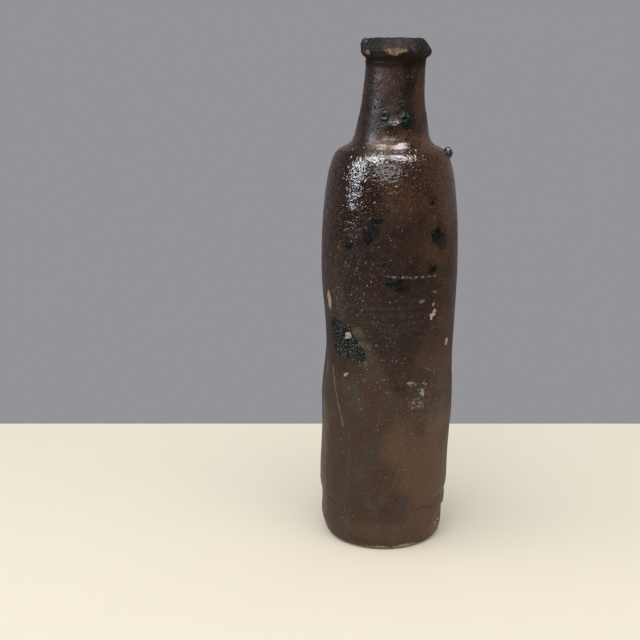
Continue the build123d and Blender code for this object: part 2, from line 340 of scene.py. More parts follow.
def glaze_edge(z, points):
    """The body's glaze ends in a thick edge under the neck's plain band."""
    edge = z - 241.0 - 0.8 * noise(points, (9, 9, 60), 37)
    return 0.14 * (1 - step_up(edge, -1.5, 0.6)), -0.20 * bell(edge - 0.9, 0.9)


def foot_crease(z, points, azimuths):
    """Relief of the crease above the foot, which climbs on the left and dips on the right, and its groove."""
    before_back = 1 - step_up(azimuths, 130, 160)
    height = CREASE_LINE + 4.0 * bell(azimuths + 70, 13) + 0.7 * noise(points, (14, 14, 60), 30)
    height = height - 8.5 * step_up(azimuths, 35, 88) * before_back
    groove = bell(z - height, 1.3) * (0.65 + 0.35 * noise(points, (9, 9, 60), 36))
    fold = 0.25 * bell(z - height - 3.0, 2.6)
    # the step of the wall hangs lower on the right
    step = 1.1 * step_up(azimuths, 28, 62) * before_back * step_up(z, height - 1, height + 2)
    depth = 0.36 + 0.25 * step_up(-azimuths, 40, 60)
    return fold + step * (1 - step_up(z, 24.5, 31)) - depth * groove, groove


def body_relief(points, azimuths):
    """Height of the hand-made relief on the body and neck, with no pits, and the masks that the glaze reads."""
    z = points[..., 2]
    climb = 2.2 * bell(azimuths - 13, 13)
    band = bell(z - climb - 242.5, 4.6)
    gloss = glaze_gloss(z, points, azimuths)
    pebbled = gloss**2 * (1 - 0.8 * band)
    for oval, strength in ovals(DULL_PLACES, points, azimuths):
        gloss = gloss * (1 - strength * np.exp(-oval**2))
    relief = MEAN_LIFT + tool_marks(z, points, azimuths) + glaze_waves(z, points, pebbled)
    for oval, thick in ovals(GLAZE_FOLDS, points, azimuths):
        gloss = np.maximum(gloss, np.exp(-oval**2))
        relief = relief + thick * np.exp(-1.6 * oval**2)
    for oval, depth in ovals(THINNED, points, azimuths):
        relief = relief - depth * np.exp(-oval**2)
    thick_edge, gap = glaze_edge(z - climb, points)
    crease, groove = foot_crease(z, points, azimuths)
    relief = relief + thick_edge * step_up(z, 205, 232) + gap + crease
    # a second faint trimming line low on the foot
    trimming = bell(z - 12.5 - 0.8 * noise(points, (12, 12, 60), 31), 0.6)
    relief = relief - 0.10 * trimming * step_up(azimuths, -40, 0)

    wobble = fractal(points, 16, 5)
    # rough grit where the foot was wiped, on the right
    wiped = step_up(1.2 - Place(62, 9, points, azimuths).oval(20, 19) + 0.3 * wobble, 0, 0.5)
    relief = relief + wiped * (0.45 * noise(points, 2.0, 32) + 0.25 * noise(points, 0.9, 40) + 0.25)
    scratch = line_mask(SCRATCH, 0.95, points, azimuths) * step_up(noise(points, (3, 3, 2.4), 33), -1.1, 0.4)
    relief = relief - 0.22 * scratch
    flaked = line_mask(TRIM_LINE, 1.5, points, azimuths) * step_up(noise(points, (1.6, 1.6, 9), 38), 0.1, 0.5)

    dark = patches(DARK_PATCHES, points, azimuths, wobble)
    red = patches(RED_PATCHES_AND_PAINTED_LIGHT, points, azimuths, fractal(points, 22, 9)) * (1 - 0.7 * dark)
    black_marks_and_crease_shade = patches(NECK_STREAKS + BLACK_MARKS, points, azimuths, fractal(points, 5, 12))
    # painted shade: the groove of the foot's crease is darkened, strongly on the right and less on the left
    shaded = step_up(azimuths, 15, 40) + 0.6 * step_up(-azimuths, 35, 60)
    return relief, {
        "gloss": gloss,
        "dark": dark,
        "red": red,
        "black_marks_and_crease_shade": np.maximum(black_marks_and_crease_shade, 0.75 * groove * shaded * (np.abs(azimuths) < 120)),
        "scratch": np.maximum(scratch, 0.45 * flaked),
        "wiped": wiped,
        "speck": patches(SPECKLED, points, azimuths, wobble),
        "band": band,
        "tan": patches(TAN_SMEARS_AND_EDGE_REFLECTION, points, azimuths, fractal(points, 6, 13)),
        # painted shade: the top of the neck, just under the rim's lip, is darkened and made duller
        "top": step_up(z + 0.7 * noise(points, (5, 5, 60), 39), 283.0, 286.0),
    }


def pale_marks(points, azimuths):
    """Mask of pale worn or unmelted spots: the pitted line and the scuffs."""
    total = 0.05 * line_mask(PITTED_LINE, 1.1, points, azimuths) * step_up(azimuths, -16, 0)
    stops, heights = zip(*PITTED_LINE)
    for k, azimuth in enumerate(np.arange(-4, 37, 3.7)):
        size = DOT_SIZES[k % len(DOT_SIZES)]
        azimuth = azimuth + 1.1 * math.sin(2.3 * k)
        dot = Place(azimuth, np.interp(azimuth, stops, heights), points, azimuths).oval(1.35 * size, size)
        total = np.maximum(total, 0.62 * step_up(1.25 - dot + 0.6 * noise(points, 0.6, 54), 0, 0.6))
    speckle = step_up(noise(points, 0.75, 52) + 0.5 * noise(points, 2.0, 53), -0.1, 0.55)
    for oval, strength in ovals(SCUFFS, points, azimuths):
        total = np.maximum(total, strength * step_up(1.35 - oval, 0, 0.7) * speckle)
    return total


# ---------------------------------------------------------------- meshes

SHARP_ANGLE = 75  # edges that bend more than this stay sharp, in degrees


def make_mesh(name, points, faces, attributes=None, smooth=True):
    """A mesh object from points in millimetres, arrays of faces with equal corners, and float attributes."""
    mesh = bpy.data.meshes.new(name)
    corners = np.concatenate([np.full(len(f), f.shape[1]) for f in faces])
    starts = np.concatenate([[0], np.cumsum(corners)[:-1]])
    loops = np.concatenate([f.ravel() for f in faces])
    mesh.vertices.add(len(points))
    mesh.vertices.foreach_set("co", (np.asarray(points) * MM).astype(np.float32).ravel())
    mesh.loops.add(len(loops))
    mesh.loops.foreach_set("vertex_index", loops.astype(np.int32))
    mesh.polygons.add(len(corners))
    mesh.polygons.foreach_set("loop_start", starts.astype(np.int32))
    mesh.update(calc_edges=True)
    mesh.polygons.foreach_set("use_smooth", np.full(len(corners), smooth))
    if smooth:
        mesh.set_sharp_from_angle(angle=math.radians(SHARP_ANGLE))
    for key, values in (attributes or {}).items():
        attribute = mesh.attributes.new(key, "FLOAT", "POINT")
        attribute.data.foreach_set("value", values.astype(np.float32).ravel())
    piece = bpy.data.objects.new(name, mesh)
    bpy.context.scene.collection.objects.link(piece)
    return piece


def tube_quads(rows, columns, first=0):
    """Quads between the rings of a tube whose points are stored ring by ring."""
    r, c = np.meshgrid(np.arange(rows - 1), np.arange(columns), indexing="ij")
    a = first + r * columns + c
    b = first + r * columns + (c + 1) % columns
    return np.stack([a, b, b + columns, a + columns], axis=-1).reshape(-1, 4)


def shell(name, outer, inner, attributes):
    """A closed shell between two grids of rings, rows x columns x 3, that have the same number of columns."""
    rows, columns, _ = outer.shape
    count = rows * columns
    ring = np.arange(columns)
    ahead = (ring + 1) % columns
    outer_top, inner_top = count - columns, count + (len(inner) - 1) * columns
    low_end = np.stack([count + ring, count + ahead, ahead, ring], axis=-1)
    high_end = np.stack([outer_top + ring, outer_top + ahead, inner_top + ahead, inner_top + ring], axis=-1)
    inside = tube_quads(len(inner), columns, count)[:, ::-1]
    quads = np.concatenate([tube_quads(rows, columns), inside, low_end, high_end])
    points = np.concatenate([outer.reshape(-1, 3), inner.reshape(-1, 3)])
    plain = np.zeros(len(inner) * columns)
    padded = {key: np.concatenate([values.ravel(), plain]) for key, values in attributes.items()}
    return make_mesh(name, points, [quads], padded)


def capped(grid, first=0):
    """Points and faces of a tube of rings that is closed by a fan at each end."""
    rows, columns, _ = grid.shape
    points = np.concatenate([grid.reshape(-1, 3), [grid[0].mean(0), grid[-1].mean(0)]])
    ring = first + np.arange(columns)
    ahead = first + (np.arange(columns) + 1) % columns
    last = (rows - 1) * columns
    pole = np.full(columns, first + rows * columns)
    low_fan = np.stack([ahead, ring, pole], axis=-1)
    high_fan = np.stack([ring + last, ahead + last, pole + 1], axis=-1)
    return points, tube_quads(rows, columns, first), np.concatenate([low_fan, high_fan])


def join_capped(name, grids, smooth=True):
    """One mesh object from several closed tubes of rings."""
    tubes, count = [], 0
    for grid in grids:
        tubes.append(capped(grid, count))
        count += len(tubes[-1][0])
    points, quads, fans = [np.concatenate(parts) for parts in zip(*tubes)]
    return make_mesh(name, points, [quads, fans], smooth=smooth)


def finish_piece(piece, node, material):
    """The piece takes the given material, rides on the bottle and hides the CAD node that it stands for."""
    piece.data.materials.append(material)
    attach(piece, "root")
    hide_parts(node)


# ---------------------------------------------------------------- the coats and the base

def rim_fillet(distance):
    """Glaze that has filled the corner between the neck and the rim's underside."""
    return 0.40 * bell(distance, 2.0)


def body_coat():
    """Outer coat on the body and neck, as a closed shell over the clay."""
    azimuths, s = np.meshgrid(AZIMUTHS, body.s)
    base = body.at(azimuths, s)
    relief, masks = body_relief(base, azimuths)
    wanted = 0.35 + 0.65 * step_up(base[..., 2], 90, 170) - 0.5 * masks["wiped"]
    pits = crater_field(s.shape, 5200, 0.6, 2.0, 61, wanted)
    chip, masks["bare"] = chip_depth([WALL_CHIP], base, azimuths, WALL_CHIP_DEPTH)
    masks["pit"] = step_up(pits, 0.04, 0.25)
    masks["pale"] = pale_marks(base, azimuths)
    for spot in spots + beads:
        oval = Place(spot.azimuth, spot.middle[2], base, azimuths).oval(spot.width * 1.5, spot.tall * 1.5)
        halo = step_up(1.0 - oval + 0.55 * noise(base, 1.6, 62), 0, 0.45)
        masks["black_marks_and_crease_shade"] = np.maximum(masks["black_marks_and_crease_shade"], 0.9 * halo)
    # the front of the foot is bare along its lowest edge
    bare_height = 2.9 + 1.2 * noise(base, (5, 5, 60), 63) + 0.5 * noise(base, 1.2, 64)
    foot_edge = step_up(bare_height - base[..., 2], -0.3, 0.4) * step_up(noise(base, (4, 4, 60), 65), -0.7, 0.0)
    foot_edge = foot_edge * np.exp(-((azimuths - 10) / 28)**4)
    masks["bare"] = np.maximum(masks["bare"], foot_edge)
    ends = step_up(s, 0, 1.2) * (1 - step_up(s, body.s[-1] - 1.0, body.s[-1]))
    relief = np.maximum(relief - pits - 0.10 * masks["pale"], DEEPEST) * ends - chip
    relief = relief + rim_fillet(body.s[-1] - s)
    outer = body.at(azimuths, s, relief)
    inner_azimuths, inner_s = np.meshgrid(AZIMUTHS, np.linspace(0, body.s[-1], 90))
    inner_base = body.at(inner_azimuths, inner_s)
    depth = chip_depth([WALL_CHIP], inner_base, inner_azimuths, WALL_CHIP_DEPTH)[0]
    inner = body.at(inner_azimuths, inner_s, -COAT - depth)
    return shell("body_glaze_coat", outer, inner, masks)


def rim_coat():
    """Black pitted coat over the folded rim and down into the throat."""
    azimuths, s = np.meshgrid(AZIMUTHS, rim.s)
    base = rim.at(azimuths, s)
    lumps = 0.30 * fractal(base, 5.5, 71) + 0.18 * noise(base, 2.2, 74) + 0.10 * noise(base, 1.1, 75)
    ends = step_up(s, 0, 2.0) * (1 - step_up(s, rim.s[-1] - 2.0, rim.s[-1]))
    pits = crater_field(s.shape, 1500, 0.6, 1.7, 76, np.full(s.shape, 0.8))
    chip, bare = chip_depth(RIM_CHIPS, base, azimuths, RIM_CHIP_DEPTH)
    # painted shade on the rim's underside, below the lip
    under = 1 - step_up(s + 1.5 * noise(base, (5, 5, 60), 77), 2.6, 4.8)
    relief = np.maximum(lumps + 0.16 - pits, DEEPEST) * ends - chip + rim_fillet(s)
    outer = rim.at(azimuths, s, relief)
    rings = np.linspace(0, rim.s[-1], 40)
    thickness = np.interp(rings, [0, rim.s[-1] * 0.7, rim.s[-1]], [COAT, 0.5, 0.35])
    inner_azimuths, inner_s = np.meshgrid(AZIMUTHS, rings)
    inner = rim.at(inner_azimuths, inner_s, -thickness[:, None] + 0 * inner_s)
    masks = {"bare": bare, "under": under, "pit": step_up(pits, 0.05, 0.25)}
    return shell("rim_glaze_coat", outer, inner, masks)


SWIRL_CENTRE = (9, -16)
SWIRL_PITCH = 2.4


def base_piece():
    """The clay base, whose underside keeps the swirl left by the cutting string."""
    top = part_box("base_disc")[1].z / MM
    side_heights = np.array([0.25, 0.8, 1.5, 2.5, 5.0, top - 0.05])
    centre, radius = cast_profile("base_disc", side_heights)
    turn = np.radians(AZIMUTHS)
    around = np.stack([np.sin(turn), -np.cos(turn), 0 * turn], axis=-1)
    under_radii = np.linspace(0.4, radius[0] - 0.5, round(radius[0] / STEP))
    under = under_radii[:, None, None] * around + (centre[0], 0, 0)
    x, y = under[..., 0] - SWIRL_CENTRE[0], under[..., 1] - SWIRL_CENTRE[1]
    string = 0.5 + 0.5 * np.sin((np.hypot(x, y) + 1.4 * np.arctan2(y, x)) * 2 * np.pi / SWIRL_PITCH)
    under[..., 2] = 0.16 * string + 0.07 * (noise(under, 2.5, 81) + 1) + 0.05 * (noise(under, 0.9, 82) + 1)
    side = radius[:, None, None] * around
    side[..., 0] += centre[:, None]
    side[..., 2] = side_heights[:, None]
    side[:3] += around * (0.22 * noise(side[:3], (2.2, 2.2, 1), 83) - 0.05)[..., None]
    lid = side[-1:] * (0.02, 0.02, 1) + (0, 0, 0.05)
    return join_capped("base_of_clay", [np.concatenate([under, side, lid])])


# ---------------------------------------------------------------- things fused to the glaze
# A part of a CAD solid is its share of the size, and its shifts sideways and up as shares of width and height.

UNDER_LINE = (-2, 167)  # the place of the slag spot under the pitted line
SPOT_TAIL = (0.75, 0.26, -0.85)
BEAD_PARTS = [(1.5, -0.38, 0.05), (1.15, 0.16, -0.12)]  # the small bead and the large one
BUBBLE_THICK = 0.6  # of the small bead's thickness
BLOCK_PART = (1.0, 0.06, 0.06)
HIGHEST_CRUMB = (0.6, 0.3, 0.0)
CRUMB_SPLIT = [(0.82, -0.05, 0.0), (0.55, 0.36, 0.40), (0.45, -0.38, -0.42)]
SCAR_THICK = 0.8
SCAR_EDGE = [  # its outline, as directions in degrees and distances
    (0, 11.5), (18, 8.0), (38, 6.5), (55, 8.5), (72, 9.8), (90, 9.3), (118, 12.0), (136, 15.5), (150, 15.5),
    (167, 13.5), (190, 12.0), (215, 12.0), (240, 12.5), (268, 11.0), (296, 12.5), (318, 17.5), (328, 18.5),
    (343, 15.5),
]



def islands(node):
    """Points in millimetres of each separate solid in a CAD node."""
    mesh = bmesh.new()
    mesh.from_mesh(nodes[node].data)
    bmesh.ops.remove_doubles(mesh, verts=mesh.verts, dist=1e-7)
    left, found = set(mesh.verts), []
    while left:
        group = [left.pop()]
        for vertex in group:
            for edge in vertex.link_edges:
                other = edge.other_vert(vertex)
                if other in left:
                    left.remove(other)
                    group.append(other)
        found.append(np.array([v.co for v in group]) / MM)
    mesh.free()
    return sorted(found, key=lambda points: tuple(points.mean(0)))


SUNK = 0.3  # how far the fused things reach into the glaze


class Blob:
    """Place, width, height and thickness of a CAD solid that sits on a skin."""

    def __init__(self, points, skin):
        self.skin = skin
        self.middle = (points.min(0) + points.max(0)) / 2
        centre = np.interp(self.middle[2], skin.height, skin.centre)
        turn = math.atan2(self.middle[0] - centre, -self.middle[1])
        self.azimuth = math.degrees(turn)
        self.sideways = np.array([math.cos(turn), math.sin(turn), 0])
        self.outward = np.array([math.sin(turn), -math.cos(turn), 0])
        self.s = skin.along(self.middle[2])
        self.radius = float(np.interp(self.s, skin.s, skin.radius))
        self.width, self.tall = np.ptp(points @ self.sideways), np.ptp(points[:, 2])
        self.deep = np.ptp(points @ self.outward)
        self.thick = float((points @ self.outward).max() - centre * math.sin(turn) - self.radius)

    def part(self, share, sideways, up):
        """A smaller copy, shifted by fractions of the width and height."""
        other = copy.copy(self)
        other.width, other.tall = self.width * share, self.tall * share
        other.azimuth = self.azimuth + math.degrees(sideways * self.width / self.radius)
        other.s = self.s + up * self.tall
        return other

    def patch(self, spokes, ring_count, ragged, seed, height, tilt=0.0, boxy=2.0, edge=None):
        """Closed patch that hugs the skin. `height(rho, points)` gives its height, 1 at full thickness.

        The outline is a rounded box of the blob's width and height, or follows `edge`, a list of directions in
        degrees and distances in millimetres.
        """
        turn = -np.linspace(0, 2 * np.pi, spokes, endpoint=False)
        outline = (np.abs(np.cos(turn))**boxy + np.abs(np.sin(turn))**boxy)**(-1 / boxy)
        wide, tall = self.width / 2, self.tall / 2
        if edge:
            outline = np.interp(np.degrees(turn), *zip(*edge), period=360)
            wide = tall = 1.0
        wave = np.stack([np.cos(turn) * 1.7, np.sin(turn) * 1.7, 0 * turn + seed * 3.1], axis=-1)
        outline = outline * (1 + ragged * noise(wave, 1.0, seed) + 0.5 * ragged * noise(wave, 0.4, seed + 1))
        rho = np.linspace(0.5 / ring_count, 1, ring_count)[:, None]
        u = rho * outline * np.cos(turn) * wide
        v = rho * outline * np.sin(turn) * tall
        cos, sin = math.cos(math.radians(tilt)), math.sin(math.radians(tilt))
        u, v = u * cos - v * sin, u * sin + v * cos
        azimuth, along = self.azimuth + np.degrees(u / self.radius), self.s + v
        ground = self.skin.at(azimuth, along)
        relief = body_relief(ground, azimuth)[0] if self.skin is body else np.zeros(azimuth.shape)
        top = self.skin.at(azimuth, along, relief + self.thick * height(rho + 0 * u, ground))
        under = self.skin.at(azimuth, along, relief - SUNK)[::-1]
        return np.concatenate([top, under])

    def knob(self, seed, rough, scale=1.0, sunk=0.0, raised=0.0):
        """Uneven ball in the place of the CAD solid, which can be scaled, sunk into the skin and raised."""
        around = -np.linspace(0, 2 * np.pi, 72, endpoint=False)
        down = np.linspace(0.04, np.pi - 0.04, 44)[:, None]
        x, y, z = np.sin(down) * np.cos(around), np.sin(down) * np.sin(around), np.cos(down) + 0 * around
        ball = np.stack([x, y, z], axis=-1)
        ball = ball * (0.97 + rough * fractal(ball + seed, 0.9, seed, 4))[..., None]
        axes = np.array([self.sideways * self.width, (0, 0, self.tall), self.outward * self.deep]) / 2
        return self.middle - sunk * self.outward + (0, 0, raised) + scale * ball @ axes


def dome(rho, points):
    """Low rounded blot with a slightly wavy top."""
    return (1 - rho**2.4)**0.8 * (0.75 + 0.25 * noise(points, 1.4, 91))


def burst_bubble(rho, points):
    """Raised ring round a small crater."""
    return 1.15 * bell(rho - 0.62, 0.24) * (0.85 + 0.3 * noise(points, 1.0, 92)) * (1 - rho**8)


def granular(rho, points):
    """Crust of small hard grains."""
    grains = 1 - np.abs(noise(points, 0.9, 93)) * 1.5 + 0.7 * noise(points, 0.5, 94)
    grains = grains + 0.35 * noise(points, 3.5, 95)
    return (1 - rho**6)**0.5 * np.clip(0.2 + 0.75 * grains, 0.05, 1.5)


def grain(rho, points):
    """Broken piece of grit."""
    return (1 - rho**3)**0.5 * (0.8 + 0.45 * noise(points, 1.0, 96))


def broken(blobs, seed, turn):
    """Angular patches, each turned further than the one before."""
    return [blob.patch(11, 4, 0.42, seed + i, grain, turn * i, 2.8) for i, blob in enumerate(blobs)]


def slag_spots():
    """Flat blots. The one under the pitted line has a tail that hangs down from it."""
    azimuth, height = UNDER_LINE
    under_line = min(spots, key=lambda spot: abs(spot.azimuth - azimuth) + abs(spot.middle[2] - height))
    blots = spots + [under_line.part(*SPOT_TAIL)]
    grids = [blot.patch(64, 16, 0.45, 100 + i, dome) for i, blot in enumerate(blots)]
    return join_capped("fused_slag_spots", grids)


def glass_beads():
    """A burst bubble and a larger flat bead."""
    ring, bead = beads
    ring.thick = BUBBLE_THICK * ring.thick
    grids = [ring.patch(72, 22, 0.12, 120, burst_bubble), bead.patch(72, 22, 0.14, 122, dome)]
    return join_capped("green_glass_beads", grids)


def clay_crumbs():
    """Crumbs in three parts each, a smaller one on top, and a single block in the scar."""
    blobs = [Blob(points, body) for points in islands("clay_crumbs")]
    scar = Blob(islands("scar_slag_patch")[0], body)
    block = min(blobs, key=lambda blob: np.linalg.norm(blob.middle - scar.middle))
    highest = max(blobs, key=lambda blob: blob.middle[2])
    blobs[blobs.index(highest)] = highest.part(*HIGHEST_CRUMB)
    pieces = [blob.part(*split) for blob in blobs if blob is not block for split in CRUMB_SPLIT]
    grids = broken(pieces, 140, 20.0)
    grids.append(block.part(*BLOCK_PART).patch(14, 5, 0.22, 139, grain, 12.0, 4.0))
    return join_capped("pale_clay_crumbs", grids, smooth=False)


def foot_grit():
    """Single grains of grit."""
    blobs = [Blob(points, body) for points in islands("foot_grit")]
    return join_capped("grit_at_the_foot", broken(blobs, 160, 25.0), smooth=False)


def scar_patch():
    """Crust of slag whose grains catch the light, with a corner up on the left and a tip down on the right."""
    blob = Blob(islands("scar_slag_patch")[0], body)
    blob.thick = SCAR_THICK
    return join_capped("slag_scar", [blob.patch(280, 76, 0.17, 181, granular, edge=SCAR_EDGE)])


def rim_lump():
    """Knob of slag on the side of the rim."""
    rows = int(np.argmax(rim.height)) + 1
    outer_side = Skin(rim.centre[:rows], rim.radius[:rows], rim.height[:rows], STEP)
    knob = Blob(islands("rim_kiln_lump")[0], outer_side).knob(203, 0.2, scale=1.25, sunk=1.9, raised=0.9)
    return join_capped("rim_slag_knob", [knob])


def shoulder_lump():
    """Round drop of slag on the shoulder's edge."""
    return join_capped("shoulder_slag_knob", [Blob(islands("shoulder_kiln_lump")[0], body).knob(207, 0.16)])


# ---------------------------------------------------------------- materials

class Graph:
    """A node tree, with short calls for the nodes that are used here."""

    def __init__(self, tree):
        self.tree = tree

    def node(self, kind, inputs=None, **settings):
        made = self.tree.nodes.new(kind)
        for key, value in settings.items():
            setattr(made, key, value)
        for key, value in (inputs or {}).items():
            self.put(made.inputs[key], value)
        return made

    def put(self, socket, value):
        """Link or set an input. A colour is three numbers."""
        if isinstance(value, bpy.types.NodeSocket):
            self.tree.links.new(value, socket)
        elif isinstance(value, tuple) and len(socket.default_value) == 4:
            socket.default_value = (*value, 1)
        else:
            socket.default_value = value

    def span(self, value, low, high, to_low=0.0, to_high=1.0, ease="SMOOTHSTEP"):
        """The value's span from low to high, eased onto another span."""
        inputs = {"Value": value, "From Min": low, "From Max": high, "To Min": to_low, "To Max": to_high}
        return self.node("ShaderNodeMapRange", inputs, interpolation_type=ease).outputs["Result"]

    def math(self, operation, a, b):
        return self.node("ShaderNodeMath", {0: a, 1: b}, operation=operation).outputs[0]

    def times(self, *values):
        total = values[0]
        for value in values[1:]:
            total = self.math("MULTIPLY", total, value)
        return total

    def mix(self, factor, a, b):
        """Colour a, or b where the factor is 1."""
        return self.node("ShaderNodeMix", {0: factor, 6: a, 7: b}, data_type="RGBA").outputs[2]

    def over(self, under, colour, *amounts):
        """A colour laid over another one, where all the amounts are high."""
        return self.mix(self.times(*amounts), under, colour)

    def blend(self, factor, a, b):
        """Number a, or b where the factor is 1."""
        return self.node("ShaderNodeMix", {0: factor, 2: a, 3: b}, data_type="FLOAT").outputs[0]


class Look(Graph):
    """A material. Its sizes are in millimetres."""

    def __init__(self, name):
        self.material = bpy.data.materials.new(name)
        self.material.use_nodes = True
        super().__init__(self.material.node_tree)
        self.place = self.node("ShaderNodeTexCoord").outputs["Object"]

    def mask(self, name):
        """A mask that was stored on the mesh."""
        return self.node("ShaderNodeAttribute", attribute_name=name).outputs["Fac"]

    def noise(self, size, detail=3.0, stretch=(1, 1, 1)):
        """Value from 0 to 1. A stretch below 1 draws the pattern out along that axis."""
        moved = self.node("ShaderNodeMapping", {"Vector": self.place, "Scale": stretch}).outputs["Vector"]
        inputs = {"Vector": moved, "Scale": 1 / (size * MM), "Detail": detail}
        return self.node("ShaderNodeTexNoise", inputs).outputs["Fac"]

    def clouds(self, size, low, high, detail=3.0, stretch=(1, 1, 1)):
        """Noise as soft patches: 0 below low and 1 above high."""
        return self.span(self.noise(size, detail, stretch), low, high)

    def cells(self, size):
        """Distance to the nearest of many scattered points, in cell widths."""
        inputs = {"Vector": self.place, "Scale": 1 / (size * MM)}
        return self.node("ShaderNodeTexVoronoi", inputs).outputs["Distance"]

    def bump(self, height, depth, strength=1.0, under=None):
        """Normal for a height from 0 to 1 that stands for a depth in millimetres."""
        made = self.node("ShaderNodeBump", {"Height": height, "Distance": depth * MM, "Strength": strength})
        if under is not None:
            self.put(made.inputs["Normal"], under)
        return made.outputs["Normal"]

    def finish(self, colour, roughness, normal=None, specular=0.5):
        inputs = {"Base Color": colour, "Roughness": roughness, "Specular IOR Level": specular}
        if normal is not None:
            inputs["Normal"] = normal
        for key, value in inputs.items():
            self.put(self.tree.nodes["Principled BSDF"].inputs[key], value)
        return self.material


BROWN = (0.0275, 0.0114, 0.0059)
DEEP_BROWN = (0.0158, 0.0071, 0.0045)
OLIVE_BROWN = (0.0228, 0.0133, 0.0063)
RED_BROWN = (0.072, 0.032, 0.017)
WARM_BAND = (0.125, 0.063, 0.034)
DRY_BROWN = (0.055, 0.0295, 0.020)
DRY_GREY = (0.0505, 0.039, 0.032)
DRY_PURPLE = (0.054, 0.0415, 0.040)
DRY_OLIVE = (0.057, 0.0445, 0.032)
DRY_WARM = (0.104, 0.057, 0.035)
TAN = (0.135, 0.105, 0.072)
TAN_GRAIN = (0.25, 0.19, 0.13)
BURNT = (0.0225, 0.0095, 0.0050)
NEAR_BLACK = (0.009, 0.0062, 0.0048)
BLACK = (0.004, 0.004, 0.004)
OCHRE = (0.24, 0.145, 0.090)
PALE = (0.44, 0.385, 0.33)
BUFF, SANDY, SAND_GRAIN = (0.36, 0.287, 0.187), (0.24, 0.175, 0.10), (0.16, 0.10, 0.06)
TOASTED, WIPED, STAINED = (0.13, 0.075, 0.045), (0.17, 0.115, 0.075), (0.105, 0.080, 0.050)
RIM_BLACK, RIM_BROWN, RIM_FLECK = (0.012, 0.012, 0.012), (0.034, 0.022, 0.017), (0.075, 0.062, 0.050)
SLAG_BLACK, SLAG_GREY, GLINT = (0.003, 0.004, 0.0035), (0.010, 0.011, 0.009), (0.42, 0.43, 0.38)
SPOT_BLACK, SPOT_BROWN = (0.003, 0.003, 0.003), (0.010, 0.008, 0.006)
KNOB_BLACK, KNOB_BROWN = (0.006, 0.005, 0.005), (0.050, 0.022, 0.014)
GLASS_BLACK, GLASS_GREEN, GLASS_STREAK = (0.004, 0.005, 0.004), (0.009, 0.016, 0.013), (0.05, 0.07, 0.06)
CRUMB, CRUMB_SHADE = (0.42, 0.33, 0.25), (0.26, 0.19, 0.13)
GRIT_DARK, GRIT_PALE = (0.11, 0.075, 0.05), (0.34, 0.25, 0.17)
LINER_BROWN, LINER_DARK = (0.060, 0.034, 0.022), (0.024, 0.016, 0.012)


def buff_clay(look):
    """Colour of fired clay with sandy grains."""
    tint = look.mix(look.noise(2.2), BUFF, SANDY)
    return look.mix(look.clouds(0.5, 0.60, 0.72, 2.0), tint, SAND_GRAIN)


def glaze_colour(look, gloss, fleck):
    """Dark browns where the glaze is glossy, greyer ones where it is dry, and all the marks on it."""
    # Among the marks below are painted shade, painted light and a painted reflection of the table.
    red, speck, bare = look.mask("red"), look.mask("speck"), look.mask("bare")
    cloud, mottle = look.noise(14, 4.0), look.noise(3.2, 4.0)
    colour = look.mix(look.span(mottle, 0.35, 0.7), BROWN, DEEP_BROWN)
    colour = look.mix(look.clouds(8, 0.48, 0.66), colour, OLIVE_BROWN)
    colour = look.over(colour, RED_BROWN, red, look.span(cloud, 0.25, 0.6, 0.45, 1.0))
    greys = look.mix(look.clouds(16, 0.40, 0.52), DRY_OLIVE, DRY_GREY)
    greys = look.mix(look.clouds(13, 0.52, 0.66), greys, DRY_PURPLE)
    dry = look.mix(look.clouds(9, 0.38, 0.66, 4.0, (1, 1, 0.5)), DRY_BROWN, greys)
    # on the dry wall the red mask lays on the warm tone; low on the right this is painted light
    dry = look.over(dry, DRY_WARM, red, 0.9)
    colour = look.mix(look.span(gloss, 0.0, 0.30), dry, colour)
    # tan smears, and the painted reflection of the table on the lower left edge
    colour = look.over(colour, TAN, look.mask("tan"), look.span(mottle, 0.30, 0.62, 0.25, 0.85))
    colour = look.over(colour, WARM_BAND, look.mask("band"), look.span(mottle, 0.3, 0.6, 0.4, 0.9))
    burnt = look.mix(look.span(mottle, 0.40, 0.62), BURNT, NEAR_BLACK)
    colour = look.over(colour, burnt, look.mask("dark"), look.span(cloud, 0.3, 0.65, 0.45, 0.9))
    colour = look.over(colour, NEAR_BLACK, look.span(fleck, 0.50, 0.66), look.blend(gloss, 0.25, 0.65))
    colour = look.over(colour, DRY_WARM, look.span(fleck, 0.46, 0.34), 0.35)
    grains = look.times(look.span(look.cells(1.25), 0.28, 0.12), look.clouds(2.6, 0.47, 0.60, 2.0))
    colour = look.over(colour, TAN_GRAIN, grains, look.blend(speck, 0.22, 0.95))
    crystals = look.times(look.span(look.cells(2.7), 0.17, 0.07), look.clouds(9, 0.42, 0.58))
    colour = look.over(colour, PALE, crystals, look.blend(speck, 0.35, 0.95))
    # painted shade on the top of the neck, under the rim's lip
    colour = look.over(colour, look.mix(look.noise(3.0), NEAR_BLACK, BROWN), look.mask("top"), 0.9)
    # black marks and halos, and painted shade in the foot's crease
    colour = look.over(colour, BLACK, look.mask("black_marks_and_crease_shade"), 0.92)
    # painted shade: the pits are darkened towards black
    colour = look.over(colour, BLACK, look.mask("pit"), look.blend(gloss, 0.2, 0.6))
    colour = look.over(colour, OCHRE, look.mask("scratch"), 0.9)
    colour = look.over(colour, WIPED, look.mask("wiped"), look.span(fleck, 0.42, 0.58), 0.8)
    colour = look.over(colour, PALE, look.mask("pale"), 0.7)
    return look.mix(bare, colour, buff_clay(look))


